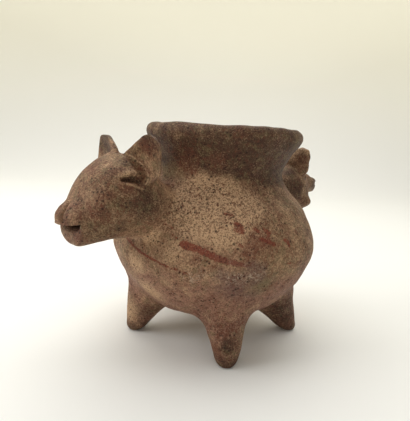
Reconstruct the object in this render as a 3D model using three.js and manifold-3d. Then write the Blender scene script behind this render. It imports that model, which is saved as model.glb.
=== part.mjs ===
// A round jar on four legs with an animal's head at each end, as it was built up in clay.
// Millimetres, +Z up. The origin is on the floor under the middle of the jar. The larger head
// looks along -X and the smaller one along +X. Left and right are each head's own.

import * as THREE from "three";
import { mergeVertices } from "three/addons/utils/BufferGeometryUtils.js";
import Module from "manifold-3d";

const wasm = await Module();
wasm.setup();

// Jar: the outer wall, from the bottom up to the lip

const jarHeight = 140;
const bottomHeight = 20; // underside of the bowl above the floor
const bottomRadius = 36; // where the underside turns up
const bottomRise = 3.4; // how much it has risen there
const lowerRadius = 58.2;
const lowerHeight = 44;
const bellyRadius = 65.5;
const bellyHeight = 64.5;
const shoulderRadius = 57.2;
const shoulderHeight = 88;
const neckFootRadius = 46.4;
const neckFootHeight = 100.5;
const neckWaistRadius = 41.2;
const neckWaistHeight = 111;
const neckRadius = 45.6; // half way up its flare
const neckHeight = 123.5;
const lipRadius = 49.6;
const lipDepth = 7; // height of the rounded lip
const lipThickness = 8;
const wallThickness = 6.5;

// Seams where the potter luted one ring of clay on another

const bowlSeamHeight = 60;
const neckSeamHeight = 110;

// Legs: each stands at its own angle and reach, as set by hand

const footReach = 51; // middle of a foot from the jar's axis
const footWidth = 11.6;
const footRounding = 4.5; // height over which the tip rounds off
const restFaceRadius = 3; // flat spot that each foot stands on
const legSideGrowth = 0.24; // how fast a leg widens to each side, per mm of height
const legInnerGrowth = 0.62; // how fast it thickens towards the axis
const legFlare = 5; // extra width where it runs into the bowl
const legRootRise = 9; // how far a leg runs on inside the bowl
const legRootTuck = 3; // how far it draws in from the bowl's wall there
const legs = [
  { name: "front_left_leg", angle: 240.5, splay: 0 },
  { name: "front_right_leg", angle: 149, splay: 0.3 },
  { name: "rear_left_leg", angle: 321, splay: 6 },
  { name: "rear_right_leg", angle: 56, splay: 2 },
];

// Heads: stations along the way that the head looks, measured from the jar's axis.
// Each has half the head's width and the heights of its top line and underside.

const headRootDepth = 15; // how far a head runs in behind the jar's outer wall
const headSquareness = 2.3; // 2 is an oval section, more is a squarer one
const jawSetBack = 5; // how far the lower jaw ends behind the nose
const noseRounding = 3; // depth over which the nose rounds off
const frontHead = {
  name: "front_head",
  turn: 180,
  reach: 109, // nose tip from the jar's axis
  stations: [
    { ahead: 42, width: 13.5, top: 102, under: 76 },
    { ahead: 50, width: 18.4, top: 105.5, under: 74.5 },
    { ahead: 62, width: 21.2, top: 115, under: 74.5 },
    { ahead: 72, width: 21.4, top: 121.5, under: 74.5 },
    { ahead: 82, width: 21, top: 118, under: 74.4 },
    { ahead: 92, width: 18.8, top: 110, under: 74 },
    { ahead: 100, width: 14.6, top: 100.5, under: 74 },
    { ahead: 106, width: 10.4, top: 95, under: 77.5 },
  ],
  mouth: { height: 82.6, gape: 3, depth: 9 },
};
const rearHead = {
  name: "rear_head",
  turn: 0,
  reach: 107,
  stations: [
    { ahead: 42, width: 11.5, top: 103, under: 81 },
    { ahead: 50, width: 14, top: 106, under: 79.5 },
    { ahead: 62, width: 15, top: 112, under: 78.5 },
    { ahead: 72, width: 14.6, top: 114.5, under: 78 },
    { ahead: 82, width: 13, top: 111, under: 78.5 },
    { ahead: 90, width: 10.4, top: 107.5, under: 82 },
    { ahead: 98, width: 7.6, top: 105, under: 89 },
    { ahead: 104, width: 6, top: 103.4, under: 91.5 },
  ],
  mouth: { height: 97.4, gape: 2.4, depth: 6 },
};

// Ears: pinched lobes, from a middle inside the head to a tip

const earRootDepth = 12; // how far an ear runs down inside the head
const frontEar = {
  ahead: 70,
  side: 14.5,
  tipAhead: 70,
  tipSide: 23,
  tipHeight: 132,
  halfWidth: 12.5,
  thickness: 8.5,
  facing: 14, // degrees that its hollow side turns outwards from straight ahead
};
const rearEar = {
  ahead: 70,
  side: 10,
  tipAhead: 71.5,
  tipSide: 12,
  tipHeight: 127,
  halfWidth: 8,
  thickness: 8,
  facing: 12,
};

const clearance = 0.3; // air left between luted pieces, so that each stays a solid of its own
const leastStep = 0.2; // points of an outline closer to a cut than this are left out
const aroundJar = 56; // facets round the jar
const aroundHead = 24;
const aroundLeg = 18;
const aroundEar = 14;

const fired = {
  bowl: new THREE.MeshStandardMaterial({ color: 0x9a7660, roughness: 0.72, metalness: 0 }),
  shoulder: new THREE.MeshStandardMaterial({ color: 0x9b7d60, roughness: 0.7, metalness: 0 }),
  neck: new THREE.MeshStandardMaterial({ color: 0x56402d, roughness: 0.62, metalness: 0 }),
  head: new THREE.MeshStandardMaterial({ color: 0x856956, roughness: 0.7, metalness: 0 }),
  leg: new THREE.MeshStandardMaterial({ color: 0x6e5b46, roughness: 0.74, metalness: 0 }),
};

const { cos, sin, PI, min, max, abs, sqrt } = Math;
const turnOf = (degrees) => THREE.MathUtils.degToRad(degrees);

/** A smooth value at x through stations: cubic pieces whose slopes come from the neighbours. */
function through(xs, ys, x) {
  const last = xs.length - 1;
  let i = 0;
  while (i < last - 1 && x > xs[i + 1]) i += 1;
  const slope = (k) => {
    const a = max(k - 1, 0);
    const b = min(k + 1, last);
    return (ys[b] - ys[a]) / (xs[b] - xs[a]);
  };
  const span = xs[i + 1] - xs[i];
  const t = THREE.MathUtils.clamp((x - xs[i]) / span, 0, 1);
  const startPart = (1 + 2 * t) * (1 - t) ** 2 * ys[i] + t * (1 - t) ** 2 * span * slope(i);
  const endPart = t * t * (3 - 2 * t) * ys[i + 1] + t * t * (t - 1) * span * slope(i + 1);
  return startPart + endPart;
}

/** The jar's outer wall as [radius, height] pairs from the axis up to where the lip's arc starts. */
function outerWall() {
  const stations = [
    [0, bottomHeight],
    [bottomRadius, bottomHeight + bottomRise],
    [lowerRadius, lowerHeight],
    [bellyRadius, bellyHeight],
    [shoulderRadius, shoulderHeight],
    [neckFootRadius, neckFootHeight],
    [neckWaistRadius, neckWaistHeight],
    [neckRadius, neckHeight],
    [lipRadius, jarHeight - lipDepth / 2],
  ];
  // A mirrored point below the axis keeps the bottom level there
  const mirrored = new THREE.Vector2(-bottomRadius, bottomHeight + bottomRise);
  const points = [mirrored, ...stations.map(([radius, height]) => new THREE.Vector2(radius, height))];
  const curve = new THREE.SplineCurve(points);
  const steps = 4;
  const outline = [];
  for (let i = steps; i <= steps * stations.length; i += 1) {
    const point = curve.getPoint(i / (steps * stations.length));
    outline.push([max(point.x, 0), point.y]);
  }
  return outline;
}

/** An outline moved square to itself by a distance, inwards where it is below 0. */
function offset(outline, distance) {
  return outline.map(([radius, height], i) => {
    const [r0, h0] = outline[max(i - 1, 0)];
    const [r1, h1] = outline[min(i + 1, outline.length - 1)];
    const length = Math.hypot(r1 - r0, h1 - h0);
    if (i === 0) return [0, height - distance];
    return [max(radius + ((h1 - h0) / length) * distance, 0), height - ((r1 - r0) / length) * distance];
  });
}

/** The radius of a rising outline at a height. */
function radiusAt(outline, height) {
  const i = outline.findIndex((point) => point[1] >= height);
  const [r0, h0] = outline[i - 1];
  const [r1, h1] = outline[i];
  return r0 + ((r1 - r0) * (height - h0)) / (h1 - h0);
}

/** The stretch of a rising outline between two heights, with points made at both. */
function between(outline, low, high) {
  const start = low === undefined ? [] : [[radiusAt(outline, low), low]];
  const end = high === undefined ? [] : [[radiusAt(outline, high), high]];
  const lowest = low === undefined ? -Infinity : low + leastStep;
  const highest = high === undefined ? Infinity : high - leastStep;
  const kept = outline.filter(([, height]) => height > lowest && height < highest);
  return [...start, ...kept, ...end];
}

/** A solid turned about the jar's axis from a closed outline. */
function turned(outline) {
  const points = outline.map(([radius, height]) => new THREE.Vector2(radius, height));
  if (outline[0][0] > 0) points.push(points[0].clone());
  const geometry = new THREE.LatheGeometry(points, aroundJar);
  geometry.rotateX(PI / 2);
  return geometry;
}

/** A closed solid from a stack of rings of points, with a flat cap on each end. */
function stacked(rings) {
  const around = rings[0].length;
  const positions = rings.flat().flatMap((point) => [point.x, point.y, point.z]);
  const index = [];
  for (let i = 0; i + 1 < rings.length; i += 1) {
    for (let j = 0; j < around; j += 1) {
      const a = i * around + j;
      const b = i * around + ((j + 1) % around);
      index.push(a, b, b + around, a, b + around, a + around);
    }
  }
  [0, rings.length - 1].forEach((end) => {
    const middle = new THREE.Vector3();
    rings[end].forEach((point) => middle.addScaledVector(point, 1 / around));
    const centre = positions.length / 3;
    positions.push(middle.x, middle.y, middle.z);
    for (let j = 0; j < around; j += 1) {
      const a = end * around + j;
      const b = end * around + ((j + 1) % around);
      if (end === 0) index.push(centre, b, a);
      else index.push(centre, a, b);
    }
  });
  const geometry = new THREE.BufferGeometry();
  geometry.setAttribute("position", new THREE.Float32BufferAttribute(positions, 3));
  geometry.setIndex(index);
  return geometry;
}

/** A geometry as a solid for cutting. */
function solidOf(geometry) {
  const bare = geometry.clone();
  bare.deleteAttribute("normal");
  bare.deleteAttribute("uv");
  const merged = mergeVertices(bare, 1e-4);
  const vertProperties = new Float32Array(merged.attributes.position.array);
  const triVerts = new Uint32Array(merged.index.array);
  return new wasm.Manifold(new wasm.Mesh({ numProp: 3, vertProperties, triVerts }));
}

/** A cut solid as a geometry again. */
function geometryOf(solid) {
  const { vertProperties, triVerts } = solid.getMesh();
  const geometry = new THREE.BufferGeometry();
  geometry.setAttribute("position", new THREE.Float32BufferAttribute(vertProperties, 3));
  geometry.setIndex([...triVerts]);
  geometry.computeVertexNormals();
  return geometry;
}

const wall = outerWall();
const innerWall = offset(wall, -wallThickness);

/** Everything within the jar's outer wall, grown by the clearance: what legs and heads are cut by. */
function jarSpace() {
  const grown = offset(wall, clearance);
  const [, topHeight] = grown[grown.length - 1];
  return solidOf(turned([...grown, [0, topHeight]]));
}

function bowl() {
  const outer = between(wall, undefined, bowlSeamHeight);
  const inner = between(innerWall, undefined, bowlSeamHeight);
  return geometryOf(solidOf(turned([...outer, ...inner.reverse()])));
}

function shoulder() {
  const outer = between(wall, bowlSeamHeight, neckSeamHeight);
  const inner = between(innerWall, bowlSeamHeight, neckSeamHeight);
  return geometryOf(solidOf(turned([...outer, ...inner.reverse()])));
}

/** The neck with its lip rolled outwards: half an ellipse joins the outer wall to the inner one. */
function neck() {
  const outer = between(wall, neckSeamHeight);
  const inner = between(innerWall, neckSeamHeight, jarHeight - lipDepth);
  const lip = [];
  const steps = 8;
  for (let i = 1; i <= steps; i += 1) {
    const angle = (i / steps) * PI;
    const radius = lipRadius - (lipThickness / 2) * (1 - cos(angle));
    lip.push([radius, jarHeight - (lipDepth / 2) * (1 - sin(angle))]);
  }
  return geometryOf(solidOf(turned([...outer, ...lip, ...inner.reverse()])));
}

/** A ring of points round a middle, in the plane of two directions. */
function ring(around, place) {
  return Array.from({ length: around }, (_, j) => place((j / around) * 2 * PI));
}

/** One leg: level rings of an oval that widens from the foot until it is inside the bowl. */
function leg({ angle, splay }, space) {
  const seatHeight = lowerHeight - 2; // where the leg's outer side meets the bowl
  const seatRadius = radiusAt(wall, seatHeight);
  const footOuter = footReach + splay + footWidth / 2;
  const footInner = footOuter - footWidth;
  const flatShare = restFaceRadius / (footWidth / 2);
  const tipHeights = [0, 0.12, 0.4].map((share) => share * footRounding);
  const steps = 8;
  const shaftHeights = Array.from({ length: steps }, (_, i) => {
    return THREE.MathUtils.lerp(footRounding, seatHeight, i / (steps - 1));
  });
  const rings = [...tipHeights, ...shaftHeights, seatHeight + legRootRise].map((height) => {
    const up = min(height / seatHeight, 1);
    const tuck = height > seatHeight ? legRootTuck : 0;
    const outer = THREE.MathUtils.lerp(footOuter, seatRadius, up) - tuck;
    const spread = legInnerGrowth * height + legFlare * (height / bottomHeight) ** 3;
    const inner = max(footInner - spread, bottomRadius / 3);
    const toSides = footWidth / 2 + legSideGrowth * height + legFlare * up ** 3;
    const rounded = sqrt(1 - max(1 - height / footRounding, 0) ** 2);
    const size = THREE.MathUtils.lerp(flatShare, 1, rounded);
    const middle = (outer + inner) / 2;
    const toAxis = (outer - inner) / 2;
    return ring(aroundLeg, (t) => {
      return new THREE.Vector3(middle + toAxis * size * cos(t), toSides * size * sin(t), height);
    });
  });
  const geometry = stacked(rings);
  geometry.rotateZ(turnOf(angle));
  return geometryOf(solidOf(geometry).subtract(space));
}

/** A head's section at a distance ahead: half its width, its top line and its underside. */
function headSection(head, ahead) {
  const places = head.stations.map((station) => station.ahead);
  const value = (key) => through(places, head.stations.map((station) => station[key]), ahead);
  return { width: value("width"), top: value("top"), under: value("under") };
}

/** A head as rings across its own forward axis, grown by a margin where it cuts its ears. */
function headSolid(head, margin) {
  const start = neckFootRadius - headRootDepth;
  const roundingStart = head.reach - noseRounding;
  const steps = 18;
  const places = Array.from({ length: steps + 1 }, (_, i) => start + (i / steps) * (roundingStart - start));
  const ends = [0.3, 0.6, 0.85, 0.96].map((t) => roundingStart + t * noseRounding);
  const rings = [...places, ...ends].map((ahead) => {
    const { width, top, under } = headSection(head, ahead);
    const beyond = max(ahead - roundingStart, 0) / noseRounding;
    const size = sqrt(1 - beyond ** 2);
    const middle = (top + under) / 2;
    const halfWidth = width * size + margin;
    const halfHeight = ((top - under) / 2) * size + margin;
    return ring(aroundHead, (t) => {
      const power = abs(cos(t)) ** headSquareness + abs(sin(t)) ** headSquareness;
      const out = power ** (-1 / headSquareness);
      return new THREE.Vector3(ahead, halfWidth * out * cos(t), middle + halfHeight * out * sin(t));
    });
  });
  const geometry = stacked(rings);
  geometry.rotateZ(turnOf(head.turn));
  return solidOf(geometry);
}

/** The open mouth: a wedge that runs in from the front, and the space before the lower jaw. */
function mouthSpace({ turn, reach, mouth }) {
  const front = reach + 5;
  const wide = 40;
  const outline = new THREE.Shape();
  outline.moveTo(reach - mouth.depth, mouth.height - mouth.gape / 4);
  outline.lineTo(reach - mouth.depth, mouth.height + mouth.gape / 4);
  outline.lineTo(front, mouth.height + mouth.gape);
  outline.lineTo(front, 0);
  outline.lineTo(reach - jawSetBack, 0);
  outline.lineTo(reach - jawSetBack, mouth.height - mouth.gape / 2);
  const geometry = new THREE.ExtrudeGeometry(outline, { depth: wide, bevelEnabled: false });
  geometry.rotateX(PI / 2);
  geometry.translate(0, wide / 2, 0);
  geometry.rotateZ(turnOf(turn));
  return solidOf(geometry);
}

function headPiece(head, space) {
  return geometryOf(headSolid(head, 0).subtract(space).subtract(mouthSpace(head)));
}

/** One ear: a flat lobe that narrows to its tip and is bent hollow towards the front. */
function ear(head, size, side, space) {
  const root = headSection(head, size.ahead).top - earRootDepth;
  const start = new THREE.Vector3(size.ahead, side * size.side, root);
  const tip = new THREE.Vector3(size.tipAhead, side * size.tipSide, size.tipHeight);
  const axis = tip.clone().sub(start);
  const facing = turnOf(size.facing);
  const front = new THREE.Vector3(cos(facing), side * sin(facing), 0);
  front.addScaledVector(axis, -front.dot(axis) / axis.lengthSq()).normalize();
  const across = new THREE.Vector3().crossVectors(front, axis).normalize();
  const hollow = size.thickness / 2;
  const rings = [0, 0.2, 0.4, 0.55, 0.7, 0.82, 0.91, 0.97, 0.995].map((up) => {
    const halfWidth = size.halfWidth * sqrt(1 - up ** 2);
    const halfThickness = (size.thickness / 2) * (1 - 0.3 * up) * sqrt(1 - up ** 6);
    const middle = start.clone().addScaledVector(axis, up);
    return ring(aroundEar, (t) => {
      const bend = hollow * ((halfWidth * cos(t)) / size.halfWidth) ** 2;
      const point = middle.clone().addScaledVector(across, halfWidth * cos(t));
      return point.addScaledVector(front, halfThickness * sin(t) + bend);
    });
  });
  const geometry = stacked(rings);
  geometry.rotateZ(turnOf(head.turn));
  return geometryOf(solidOf(geometry).subtract(headSolid(head, clearance)).subtract(space));
}

const vessel = new THREE.Group();

function add(name, geometry, material) {
  const mesh = new THREE.Mesh(geometry, material);
  mesh.name = name;
  vessel.add(mesh);
}

const space = jarSpace();
add("bowl", bowl(), fired.bowl);
add("shoulder", shoulder(), fired.shoulder);
add("neck", neck(), fired.neck);
legs.forEach((each) => add(each.name, leg(each, space), fired.leg));
[[frontHead, frontEar], [rearHead, rearEar]].forEach(([head, size]) => {
  add(head.name, headPiece(head, space), fired.head);
  add(`${head.name}_left_ear`, ear(head, size, 1, space), fired.head);
  add(`${head.name}_right_ear`, ear(head, size, -1, space), fired.head);
});

export default vessel;
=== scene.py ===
"""A round clay jar on four legs, with an animal's head looking out at each end.

Shapes are worked out in millimetres and become metres when their mesh is made. +Z is up, the floor is
at 0 and the larger head looks along -X. A head, its ears and its features are worked out in places
(ahead, side, up), where ahead is the way the head looks and side is towards its own left.
"""

from math import cos, pi, radians, sin

import bpy
import numpy as np
from bpy.props import FloatProperty, FloatVectorProperty, PointerProperty
from bpy.types import Operator, Panel, PropertyGroup
from mathutils import Matrix, Vector


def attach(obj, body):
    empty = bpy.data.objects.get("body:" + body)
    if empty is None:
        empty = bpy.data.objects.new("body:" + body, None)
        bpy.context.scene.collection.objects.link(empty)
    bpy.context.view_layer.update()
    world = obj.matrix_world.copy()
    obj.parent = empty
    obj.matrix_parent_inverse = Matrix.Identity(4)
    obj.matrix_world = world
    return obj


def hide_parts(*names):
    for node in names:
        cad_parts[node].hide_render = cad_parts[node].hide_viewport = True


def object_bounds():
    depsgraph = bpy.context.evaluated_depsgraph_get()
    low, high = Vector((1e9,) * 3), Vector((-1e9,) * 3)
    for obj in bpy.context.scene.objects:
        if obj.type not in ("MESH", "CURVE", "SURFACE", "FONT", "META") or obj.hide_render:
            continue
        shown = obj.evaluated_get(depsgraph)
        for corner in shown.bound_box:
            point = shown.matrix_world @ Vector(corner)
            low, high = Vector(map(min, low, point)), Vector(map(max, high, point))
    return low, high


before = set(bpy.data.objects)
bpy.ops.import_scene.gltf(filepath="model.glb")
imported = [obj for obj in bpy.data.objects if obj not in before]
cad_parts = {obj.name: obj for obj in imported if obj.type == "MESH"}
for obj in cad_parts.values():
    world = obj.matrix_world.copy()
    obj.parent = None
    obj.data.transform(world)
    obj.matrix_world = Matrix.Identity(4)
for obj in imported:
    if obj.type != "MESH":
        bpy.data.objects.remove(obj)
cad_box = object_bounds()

bl_info = {
    "name": "Four-legged effigy jar",
    "version": (1, 0, 0),
    "blender": (4, 5, 0),
    "location": "3D View > Sidebar > Effigy Jar",
    "description": "Builds a hand-made clay jar on four legs with two animal heads",
    "category": "Add Mesh",
}

# The photo's view, in metres: level directions to its right and away from the viewer, and the camera's
# and the lamps' places as (right, away, up)
RIGHT = (0.7431, -0.6691, 0)
AWAY = (0.6691, 0.7431, 0)
CAMERA_SPOT = (-0.0072, -0.283, 0.1385)
CAMERA_LENS = 36.77
CAMERA_PITCH = radians(11.1)
CAMERA_ROLL = radians(3.83)
TOP_LAMP = (-0.05, 0.22, 0.85)
TOP_LAMP_SIZE = 1.1
SIDE_LAMP = (-0.85, -0.2, 0.55)
SIDE_LAMP_SIZE = 0.6
LAMPS_LOOK_AT = (0, 0, 0.07)

# Points round a row of the jar, a head, an ear and a leg
AROUND_JAR = 360
AROUND_HEAD = 288
AROUND_EAR = 112
AROUND_LEG = 120

# The jar's outer wall, as (radius, height) from the middle of its underside up to its lip, with the
# belly, the waist and the lip's middle between these, and the heights at which it parts into pieces
UNDERSIDE = (0, 20)
TURN_UP = (36, 23.4)
LOWER_WALL = (58.2, 44)
SHOULDER = (57.2, 88)
NECK_FOOT = (46.4, 100.5)
NECK_FLARE = (45.0, 123.2)
UNDER_LIP = (48.0, 129.4)
BOWL_SEAM = 60
NECK_SEAM = 110

# How square a head's sections are, and how far from the jar's axis a stroke's turn becomes a length
HEAD_SQUARENESS = 2.3
PAINTED_RADIUS = 63

# Rows of points up or along the pieces: outside and inside for the jar's, and for a lobe those before
# the fillet that joins it, those of the fillet, and those of the mouth's lining, lips and muzzle
BOWL_ROWS = (120, 80)
SHOULDER_ROWS = (110, 56)
NECK_ROWS = (60, 44)
JAR_LIP_ROWS = 33
LEG_ROWS = 90
HEAD_ROWS = 225
EAR_ROWS = 120
FILLET_ROWS = 16
LINING_ROWS = 11
LIP_ROWS = 10
MUZZLE_ROWS = 35

# How deep the last row of a lobe and its closing point lie under the surface it is joined to
TUCKED = 0.4
CLOSED = 1.5

# The legs, as (name, turn in degrees, how far its foot is moved out, inner slope, how far askew it goes)
LEGS = (
    ("front_left_leg", 240.9, -0.3, 0.62, 0.6),
    ("front_right_leg", 149, -0.4, 0.64, 0),
    ("rear_left_leg", 323.6, 6.9, 1.12, 0),
    ("rear_right_leg", 56, 2, 0.8, 0),
)

# Along a head, as (ahead, half width, top line, underside)
FRONT_HEAD_STATIONS = (
    (42, 13.5, 102, 76), (50, 18.4, 105.5, 74.5), (62, 21.2, 115, 74.5),
    (72, 21.4, 120.4, 74.5), (82, 21, 119, 74.3), (92, 18.8, 111.9, 73.4),
    (100, 14.8, 98.4, 72.4), (106, 11.2, 93.2, 73.1),
)
REAR_HEAD_STATIONS = (
    (42, 11.5, 103, 81), (50, 14.6, 106, 79), (62, 16.4, 112, 77),
    (72, 16.8, 114.5, 76), (79, 14.8, 112.6, 76.5), (84, 12.2, 110.2, 83),
    (88, 10.8, 108.5, 89.6), (92, 9.8, 107, 91.6), (98, 8, 104.2, 91.0),
    (104, 6.4, 102.5, 90.8),
)

# Up an ear from its tip, as (height, inner edge, outer edge), the edges measured out from the head's middle
NEAR_EAR = (
    (132.3, 21.6, 21.6), (131.3, 17.9, 25.0), (129.2, 15.0, 27.8),
    (125.4, 9.9, 29.8), (120.6, 4.2, 30.6), (116, 2.5, 30.8), (112, 5, 29.8),
    (109, 9, 26.5), (106.5, 13, 21), (104.5, 15, 18),
)
FAR_EAR = (
    (129.3, 20.8, 20.8), (128.6, 13.4, 25.6), (126.6, 7.2, 28.2),
    (122.8, -0.4, 30.4), (120, -2, 32), (116, -3, 33), (113, 0, 33), (110, 4, 30),
    (107, 9, 22), (105, 12, 17),
)
REAR_EAR = (
    (127.8, 13.5, 13.5), (126.8, 10.2, 16.4), (125.8, 8.6, 18.6),
    (123.4, 6.6, 19.4), (120.5, 4.4, 19.8), (117, 2.4, 18.9), (113, 2.5, 18.6),
    (110, 4.5, 17.8), (107, 8.5, 14.8), (104, 11, 13),
)

# Where slip gathered or wore, where the fire clouded the clay and where shade and light are painted, as
# (x, y, z, radius, strength). Many soot patches are painted shade, and some pale patches are painted light.
PATCHES = {
    "soot_and_shade": (
        # Fire clouds, and painted shade: the patches at the front head's root, under its jaw, in and under
        # the near ear, on the rear head's shaded side, on the jar's and neck's right side and on the legs'
        # shaded faces
        (-71, -21, 97, 12, 0.9), (-61, -27, 98, 12, 0.75), (-76, 19, 126, 12, 1), (22, -58, 78, 24, 0.34),
        (10, -46, 99, 14, 0.4), (-76, -21, 86, 9, 0.45), (-7, -44, 119, 15, 0.5), (61, -15, 98, 13, 0.8),
        (70, -14, 114, 8, 0.4), (96, -8, 98, 8, 0.95), (33, -38, 16, 22, 0.66), (-29, -50, 14, 6, 0.9),
        (-42, 14, 17, 9, 0.6), (-73, -23, 129, 9, 0.75), (-86, -19, 85, 8, 0.25), (-66, -30, 118, 6, 0.8),
        (-100, -7, 81.5, 4, 0.35), (62, -12, 109, 9, 0.8), (99, -8, 103, 10, 0.85),
        (-83, -20, 87, 9, 0.55), (-67, -28, 107, 7, 0.8),
    ),
    "red": (
        (-73, -21, 126, 7, 0.95), (72, -13, 118, 9, 0.6), (-101, -8, 80, 5, 1), (-32, -31, 119, 9, 0.95),
        (8, -42, 122, 8, 0.6), (-90, -1, 112, 6, 0.8), (-90, -18, 102, 8, 0.5), (-95, -17, 92, 7, 0.75),
        (-26, -42, 138, 6, 0.9), (-83, -20, 101, 7, 0.5), (-82, -19, 105.6, 5, 0.9),
        (-76, 14, 124, 5, 0.6), (-108, 5, 89, 6, 0.9), (-40, -16, 119, 10, 1), (-28, -41, 137, 5, 0.6),
        (-31, -47, 30, 12, 0.42), (-33, -43, 12, 4, 0.95), (2, -64, 69, 9, 0.35), (-34, -43, 92, 9, 0.4),
        (-22, -57, 78, 13, 0.55),
    ),
    "wash": (
        (12, -54, 44, 16, 0.4), (-40, -51, 61, 7, 0.7), (-25, -60, 62, 9, 0.8), (-34, -55, 55, 16, 0.6),
        (-24, -58, 46, 12, 0.5),
    ),
    "olive": (
        (-84, -20, 98, 6, 0.9), (10, -48, 134, 9, 0.8), (-76, 20, 122, 8, 0.8), (-94, -15, 84, 15, 0.55),
        (-46, 27, 20, 16, 0.5), (-78, -12, 119, 9, 0.5), (74, -14, 120, 9, 0.6), (-80, -3, 118, 8, 0.5),
        (-71, -27, 117, 6, 0.6), (-41, 0, 113, 9, 0.8), (-40, -13, 111, 8, 0.7), (2, -42, 110, 10, 0.5),
        (-64, 2, 62, 11, 0.3), (-19, -61, 54, 12, 0.6), (-75, -19, 88, 10, 0.5),
    ),
    "pale": (
        # Paler slip, and painted light: the patches under the front head and round the near ear's root lift
        # shade that falls there
        (-98, -9, 101, 7, 0.4), (-48, 26, 14, 15, 0.45), (-70, -33, 116, 7, 0.6), (71, -13, 122, 10, 0.8),
        (-38, -32, 97, 22, 1), (-36, -45, 90, 15, 1), (-20, -46, 95, 11, 0.75), (-57, -30, 72, 14, 0.4),
        (-54, -8, 42, 16, 0.45), (-74, -27, 114, 5, 0.5), (-80, -22, 112.5, 6, 0.9),
        (-44, -22, 105, 9, 0.9), (-26, -38, 104, 9, 0.8), (95, -5, 90, 5, 0.8), (-61, -6, 60, 9, 0.6),
        (-60, -14, 77, 8, 0.6), (47, -45, 76, 9, 0.4),
    ),
}

# The painted strokes round the belly, each a chain of (turn in degrees, height, half width)
STROKES = (
    ((171.5, 72.4, 0.5), (178.6, 70, 0.9), (188, 67.8, 0.9), (197, 65.2, 0.6), (216, 60.8, 0.2)),
    ((212, 76.2, 2.3), (215, 75.3, 2.5), (219.5, 74, 1.8), (224, 72.2, 1.7), (229, 70.4, 2.0),
     (234, 69, 1.6), (239.3, 67.6, 1.2), (244, 66.4, 0.3)),
    ((199, 84, 0.2), (204, 82.4, 0.3)),
    ((203, 79.6, 0.2), (207, 78.4, 0.4)),
    ((237.6, 88, 1.4), (240.4, 86.4, 1.2), (239.6, 84.2, 1.9), (236.6, 85, 0.9)),
    ((238, 77.4, 0.8), (240, 76.8, 0.5)),
    ((247.6, 85.2, 1.1), (249, 84, 0.9)),
    ((253.4, 84.6, 1.0), (255.4, 83, 1.2), (254.4, 81.4, 0.7)),
    ((249.4, 80.2, 1.2), (252.4, 79.8, 0.9), (256.6, 77.6, 1.3)),
    ((264, 79, 0.7), (266.4, 77.6, 1.0), (267, 75, 0.6)),
    ((231, 92.6, 0.5), (235, 92, 0.4)),
    ((262, 66, 0.4), (270, 65.6, 0.2)),
)


def mm(length):
    """A length in metres as millimetres."""
    return length * 1000


def smooth(t):
    """Eases from 0 to 1: 3t squared less 2t cubed, held at both ends."""
    t = np.clip(t, 0, 1)
    return t * t * (3 - 2 * t)


def bell(x, width):
    """A bell curve: 1 at x = 0, and e to the minus (x / width) squared away from it."""
    return np.exp(-((x / width) ** 2))


def unit(v):
    """Vectors scaled to length 1."""
    return v / np.maximum(np.linalg.norm(v, axis=-1, keepdims=True), 1e-9)


def curve(points, steps, before=None, after=None):
    """Points along a smooth curve through others: between two of them it is the cubic whose slope at
    each is half the way from the point before it to the point after it."""
    first = points[0] if before is None else before
    p = np.array([first, *points, points[-1] if after is None else after], float)
    t = np.linspace(0, 1, steps, endpoint=False)[None, :, None]
    a, b, c, d = (p[i : len(p) - 3 + i, None, :] for i in range(4))
    start, end = (c - a) / 2, (d - b) / 2
    piece = (2 * b - 2 * c + start + end) * t**3 + (3 * c - 3 * b - 2 * start - end) * t**2 + start * t + b
    return np.vstack([piece.reshape(-1, p.shape[1]), p[-2]])


def through(xs, ys, x):
    """A smooth value at x through stations: cubic pieces whose slopes come from the neighbours."""
    xs, ys = np.asarray(xs, float), np.asarray(ys, float)
    before = np.maximum(np.arange(len(xs)) - 1, 0)
    after = np.minimum(np.arange(len(xs)) + 1, len(xs) - 1)
    slope = (ys[after] - ys[before]) / (xs[after] - xs[before])
    i = np.clip(np.searchsorted(xs, x) - 1, 0, len(xs) - 2)
    span = xs[i + 1] - xs[i]
    t = np.clip((x - xs[i]) / span, 0, 1)
    start = (1 + 2 * t) * (1 - t) ** 2 * ys[i] + t * (1 - t) ** 2 * span * slope[i]
    return start + t * t * (3 - 2 * t) * ys[i + 1] + t * t * (t - 1) * span * slope[i + 1]


def lumps(p, size, length, *seeds, waves=26):
    """Smooth random shifts of points p, of about the given size each way: for each of the three seeds a
    sum of plane waves whose directions and phases are random, and whose wavelengths are near length."""
    shifts = []
    for seed in seeds:
        rng = np.random.default_rng(seed)
        way = unit(rng.normal(size=(waves, 3))) * (2 * pi / (length * rng.uniform(0.75, 1.4, (waves, 1))))
        shifts.append(np.sin(p @ way.T + rng.uniform(0, 2 * pi, waves)).sum(-1) * (2 / waves) ** 0.5)
    return np.stack(shifts, -1) * size


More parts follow.
